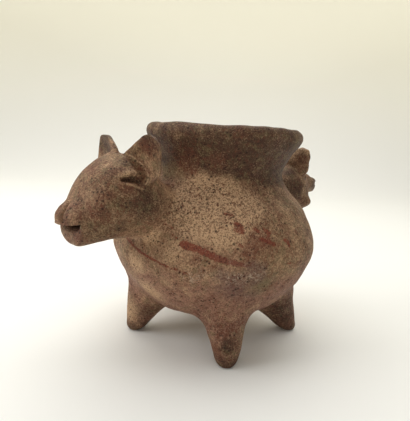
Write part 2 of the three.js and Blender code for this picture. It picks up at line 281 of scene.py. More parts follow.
def hand_made(p):
    """Points moved as the potter's hands left them: slow swells and small lumps everywhere but at the
    feet's undersides, a belly and a neck that lean a little, and a rim that isn't level and sags out on
    the side that is called right. rightward is the cosine of the turn away from there."""
    x, y, z = np.moveaxis(p, -1, 0)
    out = np.hypot(x, y)
    turn = np.arctan2(y, x)
    right = np.array([0.743, -0.669, 0])
    off_floor = smooth(z / 10)[..., None]
    uneven = lumps(p, 0.32, 85, 1, 2, 3) + lumps(p, 0.16, 17, 4, 5, 6) + lumps(p, 0.045, 6.5, 7, 8, 9)
    inside_heads = 1 - smooth((out - 51) / 7)
    of_neck = smooth((z - 104) / 32) * inside_heads
    of_rim = smooth((z - 122) / 14) * inside_heads
    sagging = bell(np.hypot(np.cos(turn) - right[0], np.sin(turn) - right[1]), 0.65)
    opposite = bell(np.hypot(np.cos(turn) + right[0], np.sin(turn) + right[1]), 0.6)
    lower = 0.6 + 1.4 * sagging + 0.5 * opposite
    rim = (0.5 * np.cos(turn - 4.6) - 0.35 * np.cos(2 * turn + 0.9) - lower) * of_rim
    sway = 1.2 * smooth((z - 38) / 36) - 0.6 * smooth(z / 28)
    sway = sway * (1 - smooth((z - 92) / 16)) * (1 - smooth((out - 67) / 6))
    rightward = np.cos(turn + 0.733)
    swell = 0.7 * bell(z - 74, 10) + 0.9 * bell(z - 31, 10) * rightward
    swell = swell - bell(z - 57, 8) * np.maximum(rightward, 0) + 1.3 * bell(z - 65, 9) * smooth(-rightward)
    swell = swell * (1 - smooth((out - 67) / 4))
    swell = np.stack([x, y, 0 * z], -1) / np.maximum(out, 1)[..., None] * swell[..., None]
    lean = np.array([1.2, -1.1, 0]) * of_neck[..., None]
    lean = lean + right * (sway + 1.1 * sagging * of_rim)[..., None]
    moved = p + off_floor * uneven + lean + swell
    moved[..., 2] += rim
    return moved


class Surface:
    """What clay is pressed on to, where each point has a height over it and a normal away from it."""

    def onto(self, p):
        for _ in range(4):
            p = p - self.height(p)[..., None] * self.normal(p)
        return p


class Wall(Surface):
    """The jar's outer wall. Seen from a middle on the axis, the wall's distance is a function of the
    angle up from level. A point's height over the wall is how much farther out it lies along its own
    ray, times the cosine between that ray and the wall's outward direction."""

    middle = 62

    def __init__(self, shape):
        belly = (mm(shape.belly_radius), mm(shape.belly_height))
        waist = (mm(shape.waist_radius), mm(shape.waist_height))
        lip = (mm(shape.lip_radius), mm(shape.height) - mm(shape.lip_depth) / 2)
        lower, upper = (UNDERSIDE, TURN_UP, LOWER_WALL, belly), (SHOULDER, NECK_FOOT, waist)
        stations = (*lower, *upper, NECK_FLARE, UNDER_LIP, lip)
        ends = {"before": (-TURN_UP[0], TURN_UP[1]), "after": (lip[0] - 0.4, lip[1] + 5)}
        self.outline = curve(stations, 48, **ends)
        radius, up = self.outline.T
        self.angle = np.arctan2(up - self.middle, radius)
        self.reach = np.hypot(radius, up - self.middle)
        self.slope = np.gradient(self.reach, self.angle)

    def _seen(self, p):
        radius = np.maximum(np.hypot(p[..., 0], p[..., 1]), 1e-9)
        up = p[..., 2] - self.middle
        angle = np.arctan2(up, radius)
        reach = np.interp(angle, self.angle, self.reach)
        return radius, up, reach, np.interp(angle, self.angle, self.slope) / reach

    def height(self, p):
        radius, up, reach, slope = self._seen(p)
        return (np.hypot(radius, up) - reach) / np.hypot(1, slope)

    def normal(self, p):
        radius, up, _, slope = self._seen(p)
        out = np.hypot(radius, up)
        level = (radius + slope * up) / out
        rise = (up - slope * radius) / out
        return unit(np.stack([level * p[..., 0] / radius, level * p[..., 1] / radius, rise], -1))


class Head(Surface):
    """A head's skin. Across the way it looks, each section is a superellipse: |side / half width| and
    |up / half height|, each to the squareness, add to 1."""

    def __init__(self, stations):
        self.ahead, self.width, self.top, self.under = np.array(stations, float).T

    def section(self, ahead):
        width = through(self.ahead, self.width, ahead)
        top = through(self.ahead, self.top, ahead)
        under = through(self.ahead, self.under, ahead)
        return width, (top + under) / 2, (top - under) / 2

    def at(self, ahead, angle):
        width, middle, half = self.section(ahead)
        c, s = np.cos(angle), np.sin(angle)
        size = (np.abs(c) ** HEAD_SQUARENESS + np.abs(s) ** HEAD_SQUARENESS) ** (-1 / HEAD_SQUARENESS)
        side, up = width * c * size, middle + half * s * size
        return np.stack(np.broadcast_arrays(ahead, side, up), -1)

    def _share(self, p):
        width, middle, half = self.section(p[..., 0])
        side, up = np.abs(p[..., 1] / width), np.abs((p[..., 2] - middle) / half)
        return (side**HEAD_SQUARENESS + up**HEAD_SQUARENESS) ** (1 / HEAD_SQUARENESS)

    def _steepness(self, p):
        step = np.eye(3) * 0.05
        return np.stack([(self._share(p + d) - self._share(p - d)) / 0.1 for d in step], -1)

    def height(self, p):
        return (self._share(p) - 1) / np.linalg.norm(self._steepness(p), axis=-1)

    def normal(self, p):
        return unit(self._steepness(p))


def luted(host, skin, width, around, rows):
    """Rows of points for a lobe of clay pressed on to a host and smoothed in, the last of them tucked
    under the host's surface, and a closing point deeper under it. skin(along, angle) is the lobe's own
    surface, from its free end at 0 to inside the host at 1. The join is a fillet that starts at the
    given width over the host: with q going from 1 to 0, it has height width * q squared on the lobe and
    runs width * (1 - q) squared out on the host, and a point of it is the lobe's point plus the host's
    point less the place where the two cross."""
    angle = (np.arange(around) * 2 * pi / around)[None]
    along = np.linspace(0, 1, 420)[:, None]
    over = host.height(skin(along, angle))

    def place(height):
        i = np.maximum((over < height).argmax(0), 1)[None]
        high = np.take_along_axis(over, i - 1, 0)
        low = np.take_along_axis(over, i, 0)
        return (i - 1 + (high - height) / (high - low)) / (len(along) - 1)

    crossing = place(0)
    start = skin(crossing, angle)
    step = 1e-3
    round_it = skin(crossing, angle + step) - skin(crossing, angle - step)
    down_it = skin(crossing + step, angle) - skin(crossing - step, angle)
    outward = unit(np.cross(round_it, down_it))
    if ((start - start.mean(1, keepdims=True)) * outward).sum() < 0:
        outward = -outward
    up = host.normal(start)
    away = unit(outward - (outward * up).sum(-1, keepdims=True) * up)
    grid = [skin(np.linspace(0, 1, rows)[:, None] * place(width), angle)]
    for q in np.linspace(1, 0, FILLET_ROWS + 1)[1:]:
        on_host = host.onto(start + away * width * (1 - q) ** 2)
        grid.append(skin(place(width * q * q), angle) + on_host - start)
    last = grid[-1]
    grid.append(last - host.normal(last) * TUCKED)
    closing = host.onto(last.mean(1))
    return np.vstack(grid), (closing - host.normal(closing) * CLOSED)[0]


def outward_of(grid):
    """Unit vectors square to a grid of points whose columns run round: the cross product of the
    differences along it and round it, pointing away from its rows' middles."""
    along = np.gradient(grid, axis=0)
    round_it = np.roll(grid, -1, 1) - np.roll(grid, 1, 1)
    n = unit(np.cross(round_it, along))
    away = grid - grid.mean(1, keepdims=True)
    return n if (n * away).sum() > 0 else -n


def marks(p):
    """What a point of the jar's skin has on it, from its place alone, for the clay's materials.
    soot is how smoked it is, and also painted shade where shade falls, red, wash, olive and pale are how
    much it is of that colour, some pale being painted light, speck how thick the dark specks lie, worn
    where the slip is rubbed off, ridge a painted highlight along a thin fold, 0 on the jar itself, and
    stroke the distance in mm from the edge of the nearest painted stroke, below 0 inside it. A patch fades
    as a bell curve."""
    x, y, z = np.moveaxis(p, -1, 0)
    out = np.hypot(x, y)
    turn = np.degrees(np.arctan2(y, x)) % 360
    of_jar = 1 - smooth((out - 50.5) / 4)
    kinds = {kind: np.zeros(out.shape) for kind in PATCHES}

    def at_least(kind, amount):
        kinds[kind] = np.maximum(kinds[kind], amount)

    for kind, patches in PATCHES.items():
        for *place, radius, strength in patches:
            at_least(kind, strength * bell(np.linalg.norm(p - place, axis=-1), radius))
    # The neck is darkened above an edge that lies lower on its right side: fire-clouding, and painted shade
    # on the right and under the flaring lip. Less of it on the neck's left and on the top of the lip is
    # partly painted light.
    edge = np.interp(turn, (0, 160, 200, 235, 275, 330, 360), (103, 110, 111, 106, 101, 101, 103))
    neck = smooth((z - edge + 2) / 13) * of_jar
    lip = smooth((z - 130) / 4) * of_jar
    less_soot_and_lit = 0.3 * bell(turn - 186, 20) * (1 - lip) + 0.4 * lip
    at_least("soot_and_shade", neck * (1 - less_soot_and_lit))
    at_least("soot_and_shade", 0.6 * bell(z - 3, 7) * (out > 30))
    front, rear = smooth((-x - 66) / 10), smooth((x - 60) / 6)
    at_least("soot_and_shade", 0.33 * front + 0.42 * rear)
    at_least("red", 0.32 * front + 0.25 * rear)
    on_shoulder = smooth((z - 74) / 14) * (1 - smooth((z - 104) / 8)) * of_jar_wall(out, z)
    speck = 0.3 + 0.7 * on_shoulder * (1 - 0.55 * smooth((turn - 250) / 40))
    speck = speck + 0.5 * bell(z - 28, 14) * (turn > 220) * (turn < 260)
    worn = bell(z - 60.5 - 0.06 * (turn - 232), 5) * smooth((turn - 208) / 10)
    worn = worn * (1 - smooth((turn - 248) / 10)) * (out > 58)
    return {**kinds, "speck": speck, "worn": worn, "painted_highlight": out * 0, "stroke": stroke_distance(p)}


def of_jar_wall(out, up):
    """1 on the jar's own wall and 0 on the heads, which stand out more than 14 mm from the belly."""
    return 1 - smooth((out - np.interp(up, (60, 88, 100, 112), (66, 58, 48, 43)) - 2) / 6)


def stroke_distance(p):
    """How far points lie from the painted strokes: the distance to the nearest part of a stroke, less
    its half width there."""
    x, y, z = np.moveaxis(p, -1, 0)
    out, turn = np.hypot(x, y), np.degrees(np.arctan2(y, x)) % 360
    best = np.full(out.shape, 99.0)
    for stroke in STROKES:
        for a, b in zip(stroke, stroke[1:]):
            run = np.radians(b[0] - a[0]) * PAINTED_RADIUS, b[1] - a[1]
            across, up = np.radians(turn - a[0]) * out, z - a[1]
            t = np.clip((across * run[0] + up * run[1]) / (run[0] ** 2 + run[1] ** 2), 0, 1)
            gap = np.hypot(across - t * run[0], (up - t * run[1]) * 1.1)
            best = np.minimum(best, gap - a[2] - t * (b[2] - a[2]))
    return best + 9 * (1 - of_jar_wall(out, z))


def fired(name, rows, first=None, last=None, ring=False, crisp=(), slot="", node="", extra=None):
    """One closed piece from a grid of rows of points that run round, with a point that closes its
    first and its last row, or joined last row to first as a ring. Faces are turned outwards if the
    volume that they enclose comes out below 0. Crisp rows keep a sharp edge."""
    around = rows.shape[1]
    count = rows.shape[0]
    i = np.arange(count if ring else count - 1)[:, None]
    j = np.arange(around)[None]
    here, there = i * around, ((i + 1) % count) * around
    after = (j + 1) % around
    quads = np.stack([here + j, here + after, there + after, there + j], -1).reshape(-1, 4)
    points = rows.reshape(-1, 3)
    fans = []
    if not ring:
        points = np.vstack([points, first, last])
        low, high = len(points) - 2, len(points) - 1
        edge = (count - 1) * around
        fans.append(np.stack(np.broadcast_arrays(low, after[0], j[0]), -1))
        fans.append(np.stack(np.broadcast_arrays(high, edge + j[0], edge + after[0]), -1))
    fans = np.vstack(fans) if fans else np.zeros((0, 3), int)
    halves = np.vstack([quads[:, [0, 1, 2]], quads[:, [0, 2, 3]], fans])
    a, b, c = (points[halves[:, k]] for k in range(3))
    if (a * np.cross(b, c)).sum() < 0:
        quads, fans = quads[:, ::-1], fans[:, ::-1]
    made = hand_made(points)
    mesh = bpy.data.meshes.new(name)
    mesh.vertices.add(len(made))
    mesh.vertices.foreach_set("co", (made / 1000).ravel())
    mesh.loops.add(quads.size + fans.size)
    mesh.loops.foreach_set("vertex_index", np.concatenate([quads.ravel(), fans.ravel()]))
    mesh.polygons.add(len(quads) + len(fans))
    starts = np.concatenate([np.arange(len(quads)) * 4, quads.size + np.arange(len(fans)) * 3])
    mesh.polygons.foreach_set("loop_start", starts)
    mesh.update(calc_edges=True)
    mesh.validate()
    mesh.shade_smooth()
    if len(crisp):
        ends = np.empty(len(mesh.edges) * 2, int)
        mesh.edges.foreach_get("vertices", ends)
        row = ends.reshape(-1, 2) // around
        sharp = (row[:, 0] == row[:, 1]) & np.isin(row[:, 0], np.array(crisp) % count)
        mesh.attributes.new("sharp_edge", "BOOLEAN", "EDGE").data.foreach_set("value", sharp)
    skin = marks(points)
    for key, value in (extra or {}).items():
        skin[key] = np.maximum(skin[key], value)
    for key, value in skin.items():
        mesh.attributes.new(key, "FLOAT", "POINT").data.foreach_set("value", value.astype(np.float32))
    piece = bpy.data.objects.new(name, mesh)
    bpy.context.collection.objects.link(piece)
    mesh.materials.append(clay(slot))
    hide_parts(node)
    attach(piece, "root")


class Number:
    """A number that varies over a surface: a shader socket with arithmetic, each sign of which adds
    one Math node."""

    def __init__(self, finish, socket):
        self.finish, self.socket = finish, socket

    def _math(self, operation, *values):
        return self.finish.number("ShaderNodeMath", {"operation": operation}, *values)

    def __add__(self, other):
        return self._math("ADD", self, other)

    __radd__ = __add__

    def __sub__(self, other):
        return self._math("SUBTRACT", self, other)

    def __rsub__(self, other):
        return self._math("SUBTRACT", other, self)

    def __mul__(self, other):
        return self._math("MULTIPLY", self, other)

    def most(self, other):
        return self._math("MAXIMUM", self, other)

    def ramp(self, low, high):
        """0 below low, 1 above high, and eased between them. Where low is the greater, it falls."""
        settings = {"interpolation_type": "SMOOTHSTEP"}
        if low < high:
            return self.finish.number("ShaderNodeMapRange", settings, self, low, high, 0, 1)
        return self.finish.number("ShaderNodeMapRange", settings, self, high, low, 1, 0)


class Finish:
    """A material in the making, on a Principled shader."""

    def __init__(self, name):
        self.material = bpy.data.materials.new(name)
        self.material.use_nodes = True
        self.tree = self.material.node_tree
        self.shader = self.tree.nodes["Principled BSDF"]
        self.place = self.node("ShaderNodeTexCoord", {}).outputs["Object"]

    def node(self, kind, settings, *inputs, **named):
        """A node of a kind, with its settings set first and then the values or links of its sockets,
        in their order or by name."""
        node = self.tree.nodes.new(kind)
        for key, value in settings.items():
            setattr(node, key, value)
        for socket, value in [*zip(node.inputs, inputs), *((node.inputs[k], v) for k, v in named.items())]:
            self.put(socket, value)
        return node

    def put(self, socket, value):
        value = getattr(value, "socket", value)
        if isinstance(value, bpy.types.NodeSocket):
            self.tree.links.new(value, socket)
        else:
            socket.default_value = value

    def number(self, kind, settings, *inputs, output=0, **named):
        return Number(self, self.node(kind, settings, *inputs, **named).outputs[output])

    def attribute(self, name):
        return self.number("ShaderNodeAttribute", {"attribute_name": name}, output=2)

    def noise(self, size, detail=3.0, roughness=0.55, distortion=0.0):
        """Noise whose grains are about that many millimetres across."""
        named = {"Scale": 1000 / size, "Detail": detail, "Roughness": roughness, "Distortion": distortion}
        return self.number("ShaderNodeTexNoise", {}, self.place, **named)

    def cells(self, size):
        """The distance to the nearest of points scattered that many millimetres apart, in shares of it."""
        return self.number("ShaderNodeTexVoronoi", {}, self.place, Scale=1000 / size)

    def blend(self, share, below, above):
        """Two colours mixed by a share from 0 to 1."""
        node = self.node("ShaderNodeMix", {"data_type": "RGBA"})
        self.put(node.inputs[0], share)
        self.put(node.inputs[6], below)
        self.put(node.inputs[7], above)
        return node.outputs[2]


def linear(colour):
    """A colour as a picture writes it, in shares of 1, as the light that it stands for."""
    c = np.asarray(colour, float)
    return (*np.where(c <= 0.04045, c / 12.92, ((c + 0.055) / 1.055) ** 2.4), 1.0)


def clay(slot):
    """The clay's material for one of the record's slots, made once. All slots share the same worn slip,
    so that the luted joints don't show, and take their soot and painted shade, red slip, painted highlights
    and strokes from the skin."""
    name = slot.replace("_", " ")
    if name in bpy.data.materials:
        return bpy.data.materials[name]
    colours = bpy.context.scene.jar_clay
    finish = Finish(name)
    broad = finish.noise(30, 3.0, 0.55, 0.3)
    cloud = finish.noise(9, 4.0, 0.62, 0.4)
    mottle = finish.noise(2.6, 4.0, 0.68, 0.3)
    grain = finish.noise(0.95, 3.0, 0.7)
    fine = finish.noise(0.45, 2.0, 0.6)
    tint = finish.noise(4.2, 3.0, 0.6, 0.4)
    burnt = finish.noise(5, 5.0, 0.72, 0.5)
    # The soot attribute holds the fire clouds and the painted shade.
    soot_and_shade, density, worn = (finish.attribute(kind) for kind in ("soot_and_shade", "speck", "worn"))
    height = finish.number("ShaderNodeSeparateXYZ", {}, finish.place, output=2)

    def patch(kind, low=0.22, high=0.62):
        there = finish.attribute(kind)
        return (there * (cloud * 0.9 + mottle * 0.7 + grain * 0.3 + 0.05)).ramp(low, high)

    def cover(base, *layers):
        """A colour under layers, each a share from 0 to 1 and the name of a colour."""
        for share, colour in layers:
            base = finish.blend(share, base, linear(getattr(colours, colour)))
        return base

    low = height.ramp(0.068, 0.045)
    smooth_clay = low * height.ramp(0.02, 0.035)
    tinted = 0.55 - smooth_clay * 0.25
    umber = (mottle + (grain - 0.5) * 0.7).ramp(0.48, 0.68) * 0.36 * (1 - density * 0.6)
    umber = (umber + grain.ramp(0.5, 0.62) * 0.18) * (1 - smooth_clay * 0.5)
    rust = cloud.ramp(0.4, 0.6) * 0.5 + finish.attribute("red") * 0.5 + density * 0.35
    rust = finish.noise(1.9, 4.0, 0.7).ramp(0.52, 0.62) * rust
    sandy = (grain * 0.6 + fine * 0.4 + (tint - 0.5) * 0.3).ramp(0.49, 0.57) * density * 0.36
    dust = (grain * 0.8 + mottle * 0.2 + (fine - 0.5) * 0.7 + (cloud - 0.5) * 0.3).ramp(0.45, 0.33)
    dust = dust * (0.36 + density * 0.2 - smooth_clay * 0.2) * (1 - soot_and_shade * 0.3)
    flecks = (burnt * 0.5 + grain * 0.5).ramp(0.52, 0.6) * soot_and_shade
    base = cover(
        linear(colours.tan),
        ((low * 0.75 + broad.ramp(0.42, 0.62) * 0.45).ramp(0, 1), "pink"),
        (cloud.ramp(0.46, 0.36) * 0.38, "light"),
        (cloud.ramp(0.52, 0.64) * mottle.ramp(0.42, 0.6) * 0.7, "red"),
        (broad.ramp(0.5, 0.36) * mottle.ramp(0.4, 0.62) * 0.55, "olive"),
        (tint.ramp(0.52, 0.62) * tinted, "red"),
        (tint.ramp(0.47, 0.37) * tinted, "olive"),
        (patch("olive") * 0.75, "olive"),
        (patch("wash") * 0.7, "wash"),
        # Paler slip, partly painted light where the pale patches lift shade.
        (patch("pale", 0.18, 0.5) * 0.95, "light"),
        (patch("red") * 0.75, "red"),
        # Fire clouds, and painted shade where the soot patches stand for shade.
        (patch("soot_and_shade", 0.18, 0.78) * 0.9, "smoke_and_shade"),
        (burnt.ramp(0.49, 0.6) * soot_and_shade * 0.75, "burnt"),
        (tint.ramp(0.48, 0.36) * soot_and_shade * 0.6, "olive"),
        (patch("red", 0.4, 0.8) * soot_and_shade * 0.4, "red"),
        (umber, "smoke_and_shade"),
        (rust, "red"),
        (sandy, "burnt"),
        (dust, "light"),
        (flecks * 0.8, "speck"),
        # A painted highlight along the folds under the eyes and at the ears' fronts.
        (finish.attribute("painted_highlight") * mottle.ramp(0.35, 0.6) * 0.75, "light"),
    )
    stroke = finish.attribute("stroke") + (mottle - 0.5) * 4 + (grain - 0.5) * 3.6
    painted = stroke.ramp(0.3, -0.2) * (grain * 1.2 + fine * 0.4).ramp(0.4, 0.75)
    paint = cover(linear(colours.paint), (finish.attribute("wash"), "wash"))
    base = finish.blend(painted * 0.85, base, paint)
    flakes = (finish.noise(2.2, 4.0, 0.7, 0.6) + worn * 0.13).ramp(0.6, 0.68)
    flakes = flakes * (worn * cloud.ramp(0.44, 0.56) * 0.8 + 0.2)
    pits = (finish.cells(2.6) + (grain - 0.5) * 0.7).ramp(0.28, 0.18) * cloud.ramp(0.46, 0.56)
    blots = finish.cells(2.0) + (grain - 0.5) * 0.9 + (tint - 0.5) * 0.8 - density * 0.06
    dots = finish.cells(1.1) + (grain - 0.5) * 0.7 + (mottle - 0.5) * 0.9 - density * 0.1 - 0.02
    specks = pits.most(dots.ramp(0.25, 0.15) * 0.75)
    base = cover(
        base,
        (flakes * 0.7, "pale"),
        (blots.ramp(0.28, 0.18) * (0.25 + density * 0.28), "burnt"),
        (specks * 0.85, "speck"),
    )
    finish.put(finish.shader.inputs["Base Color"], base)
    roughness = 0.5 + grain * 0.25 + flakes * 0.15 + specks * 0.1
    finish.put(finish.shader.inputs["Roughness"], roughness)
    finish.shader.inputs["Specular IOR Level"].default_value = 0.25
    relief = cloud * 0.5 + mottle * 0.4 + grain * 0.3 + fine * 0.08 - specks * 0.25 - flakes * 0.12
    bump = finish.node("ShaderNodeBump", {}, Strength=0.9, Distance=0.001, Height=relief)
    finish.put(finish.shader.inputs["Normal"], bump.outputs[0])
    return finish.material


def colour_of(name, description, default):
    return FloatVectorProperty(name=name, description=description, default=default, size=3, min=0, max=1,
                               subtype="COLOR_GAMMA")


def length_of(name, description, default):
    return FloatProperty(name=name, description=description, default=default, min=0.0, unit="LENGTH")


class JarShape(PropertyGroup):
    """Sizes of the hand-built jar."""

    height: length_of("Height", "From the floor to the top of the lip", float(cad_box[1][2]))
    belly_radius: length_of("Belly radius", "Half the width of the jar at its widest", 0.0655)
    belly_height: length_of("Belly height", "How high the widest place is", 0.0645)
    waist_radius: length_of("Waist radius", "Half the width of the neck where it is narrowest", 0.0412)
    waist_height: length_of("Waist height", "How high the narrowest place is", 0.111)
    lip_radius: length_of("Lip radius", "Half the width of the mouth over its lip", 0.0496)
    lip_depth: length_of("Lip depth", "Height of the rounded lip", 0.0105)
    lip_thickness: length_of("Lip thickness", "Width of the rounded lip", 0.008)
    wall: length_of("Wall", "Thickness of the jar's wall", 0.0065)


class LegShape(PropertyGroup):
    """Sizes of the legs."""

    reach: length_of("Reach", "Middle of a foot from the jar's axis", 0.051)
    foot: length_of("Foot width", "Width of a foot above its rounded tip", 0.0116)
    rounding: length_of("Rounding", "Height over which the tip rounds off", 0.0045)
    rest: length_of("Rest face", "Radius of the flat spot that a foot stands on", 0.003)
    join: length_of("Join", "How far the clay is smoothed up the bowl", 0.0075)


class HeadShape(PropertyGroup):
    """Sizes of the modelled heads."""

    join: length_of("Join", "How far a head is smoothed on to the jar", 0.005)
    ear_join: length_of("Ear join", "How far an ear is smoothed on to its head", 0.0016)
    crease: length_of("Nose crease", "Depth of the crease down the middle of the nose", 0.0024)
    lobe: length_of("Nose lobes", "How far the two lobes of the nose stand out", 0.0014)
    eye: length_of("Eye slit", "Depth of the slit under the upper eyelid", 0.0022)
    lid: length_of("Eyelid", "How far the upper eyelid stands out", 0.0008)
    fold: length_of("Lid fold", "How far the thin fold under the eye stands out", 0.0005)


class ClayColours(PropertyGroup):
    """Colours of the fired clay and its slip."""

    tan: colour_of("Slip", "The tan slip of the shoulder", (0.615, 0.485, 0.36))
    # Also the colour of painted light: the pale patches that lift shade and the painted highlights along
    # folds.
    light: colour_of("Light slip", "Where the slip is thick and clean", (0.77, 0.63, 0.485))
    pink: colour_of("Bare clay", "The pinkish clay under the belly", (0.58, 0.425, 0.345))
    red: colour_of("Red slip", "Reddish brown where slip gathered", (0.43, 0.25, 0.18))
    wash: colour_of("Wash", "The thin purplish wash of the lower belly", (0.42, 0.315, 0.285))
    olive: colour_of("Olive slip", "Greenish brown slip", (0.44, 0.385, 0.265))
    # Also the colour of the painted shade that the soot patches lay on shaded places.
    smoke_and_shade: colour_of("Fire cloud", "Dark brown where the fire smoked it", (0.245, 0.165, 0.105))
    burnt: colour_of("Burnt slip", "Red slip that the fire darkened", (0.31, 0.165, 0.115))
    speck: colour_of("Specks", "Nearly black specks in the pits", (0.17, 0.105, 0.07))
    pale: colour_of("Worn places", "Pale clay where the slip is gone", (0.74, 0.655, 0.56))
    paint: colour_of("Paint", "The red painted strokes", (0.45, 0.18, 0.115))


class StudioLight(PropertyGroup):
    """The lamps, the room's light and the paper behind the jar."""

    top: FloatProperty(name="Top lamp", description="Power of the lamp above and behind the jar",
                       default=7.4, min=0, unit="POWER")
    side: FloatProperty(name="Side lamp", description="Power of the large lamp at the left",
                        default=3.7, min=0, unit="POWER")
    sky: FloatProperty(name="Room light", description="Strength of the even light from all round",
                       default=0.42, min=0)
    floor: colour_of("Floor", "The floor's colour", (0.93, 0.93, 0.915))
    backdrop: colour_of("Backdrop", "The colour far behind the jar", (0.955, 0.94, 0.875))
    glow: colour_of("Glow", "Light that shines through the backdrop", (0.64, 0.628, 0.56))


def in_view(right, away, up):
    """A place, or a way, from how far it is to the view's right, away from the viewer, and up."""
    return Vector(RIGHT) * right + Vector(AWAY) * away + Vector((0, 0, up))


class JarStudio(Operator):
    """Lay the pale floor that curves up behind the jar, and set its lamps and the camera"""

    bl_idname = "effigy_jar.studio"
    bl_label = "Studio"

    def execute(self, context):
        studio = context.scene.jar_studio
        self.sweep(studio)
        self.lamp("top_lamp", in_view(*TOP_LAMP), TOP_LAMP_SIZE, studio.top)
        self.lamp("side_lamp", in_view(*SIDE_LAMP), SIDE_LAMP_SIZE, studio.side)
        world = bpy.data.worlds.new("room light")
        world.use_nodes = True
        nodes, links = world.node_tree.nodes, world.node_tree.links
        nodes["Background"].inputs[0].default_value = (1.0, 0.965, 0.9, 1)
        nodes["Background"].inputs[1].default_value = studio.sky
        kinds = ("Background", "MixShader", "LightPath")
        seen, share, path = (nodes.new(f"ShaderNode{kind}") for kind in kinds)
        seen.inputs[0].default_value = linear(studio.backdrop)
        links.new(path.outputs["Is Camera Ray"], share.inputs[0])
        links.new(nodes["Background"].outputs[0], share.inputs[1])
        links.new(seen.outputs[0], share.inputs[2])
        links.new(share.outputs[0], nodes["World Output"].inputs[0])
        context.scene.world = world
        camera = bpy.data.cameras.new("camera")
        camera.lens = CAMERA_LENS
        camera.clip_start = 0.01
        holder = bpy.data.objects.new("camera", camera)
        context.collection.objects.link(holder)
        right, ahead = Vector(RIGHT), in_view(0, cos(CAMERA_PITCH), -sin(CAMERA_PITCH))
        axes = Matrix((right, right.cross(ahead), -ahead)).transposed().to_4x4()
        spot = Matrix.Translation(in_view(*CAMERA_SPOT))
        holder.matrix_world = spot @ axes @ Matrix.Rotation(CAMERA_ROLL, 4, "Z")
        context.scene.camera = holder
        context.scene.view_settings.view_transform = "Standard"
        return {"FINISHED"}

    @staticmethod
    def lamp(name, spot, size, power):
        """A square lamp at a spot that looks at the middle of the jar."""
        light = bpy.data.lights.new(name, "AREA")
        light.size = size
        light.energy = power
        holder = bpy.data.objects.new(name, light)
        look = (Vector(LAMPS_LOOK_AT) - spot).to_track_quat("-Z", "Y")
        holder.matrix_world = Matrix.Translation(spot) @ look.to_matrix().to_4x4()
        bpy.context.collection.objects.link(holder)

    @staticmethod
    def sweep(studio):
        """The floor and backdrop: level to 0.6 m behind the jar, then a quarter circle of radius 0.7 m
        and an upright wall, carried 6 m along. It glows faintly far from the jar, where no lamp is."""
        turn = np.linspace(0, pi / 2, 40)
        back = np.concatenate([[-4.0], 0.6 + 0.7 * np.sin(turn), [1.3]])
        up = np.concatenate([[0.0], 0.7 * (1 - np.cos(turn)), [3.0]])
        rows = back[:, None] * np.array(AWAY) + up[:, None] * np.array([0, 0, 1])
        left, other = rows - 3 * np.array(RIGHT), rows + 3 * np.array(RIGHT)
        points = np.stack([left, other], 1).reshape(-1, 3)
        i = np.arange(len(rows) - 1) * 2
        faces = np.stack([i, i + 1, i + 3, i + 2], -1)
        mesh = bpy.data.meshes.new("floor")
        mesh.from_pydata(points.tolist(), [], faces.tolist())
        mesh.shade_smooth()
        finish = Finish("pale paper")
        up_it = finish.number("ShaderNodeSeparateXYZ", {}, finish.place, output=2)
        tone = finish.blend(up_it.ramp(0.0, 0.5), linear(studio.floor), linear(studio.backdrop))
        finish.put(finish.shader.inputs["Base Color"], tone)
        far = finish.number("ShaderNodeVectorMath", {"operation": "LENGTH"}, finish.place, output=1)
        lit = up_it.ramp(0.05, 0.7).most(far.ramp(0.8, 2.0))
        glow = finish.blend(lit, (0, 0, 0, 1), linear(studio.glow))
        finish.put(finish.shader.inputs["Emission Color"], glow)
        finish.shader.inputs["Emission Strength"].default_value = 1.0
        finish.shader.inputs["Roughness"].default_value = 0.9
        finish.shader.inputs["Specular IOR Level"].default_value = 0.1
        mesh.materials.append(finish.material)
        floor = bpy.data.objects.new("floor", mesh)
        bpy.context.collection.objects.link(floor)


def between(outline, low, high, count):
    """That many points of an outline of (radius, height), evenly spaced along it, from one height to
    another."""
    run = np.concatenate([[0], np.cumsum(np.hypot(*np.diff(outline, axis=0).T))])
    start, end = np.interp((low, high), outline[:, 1], run)
    at = np.linspace(start, end, count)
    return np.stack([np.interp(at, run, outline[:, 0]), np.interp(at, run, outline[:, 1])], -1)


def jar_outlines(context):
    """The outline of the jar's outer wall, and the same moved square to itself by the wall's thickness,
    towards the jar's middle."""
    outline = Wall(context.scene.jar_shape).outline
    way = unit(np.gradient(outline, axis=0))
    return outline, outline + np.stack([-way[:, 1], way[:, 0]], -1) * mm(context.scene.jar_shape.wall)


def turned(outline):
    """A surface turned about the jar's axis: (radius cos turn, radius sin turn, height)."""
    turn = np.arange(AROUND_JAR) * 2 * pi / AROUND_JAR
    radius, up = outline[:, 0, None], outline[:, 1, None]
    return np.stack([radius * np.cos(turn), radius * np.sin(turn), up + 0 * turn], -1)


class JarBowl(Operator):
    """Make the bowl: the lower half of the jar, round underneath and hollow"""

    bl_idname = "effigy_jar.bowl"
    bl_label = "Bowl"

    def execute(self, context):
        outer, inner = jar_outlines(context)
        inner[0] = (0, inner[0, 1])
        outside = between(outer, UNDERSIDE[1] + 0.002, BOWL_SEAM, BOWL_ROWS[0])
        inside = between(inner, inner[0, 1] + 0.002, BOWL_SEAM, BOWL_ROWS[1])[::-1]
        outside[0, 0], inside[-1, 0] = 0.6, 0.6
        rows = turned(np.vstack([outside, inside]))
        first, last = (0, 0, outside[0, 1]), (0, 0, inside[-1, 1])
        edges = (BOWL_ROWS[0] - 1, BOWL_ROWS[0])
        fired("jar_bowl", rows, first, last, crisp=edges, slot="bowl_clay", node="bowl")
        return {"FINISHED"}


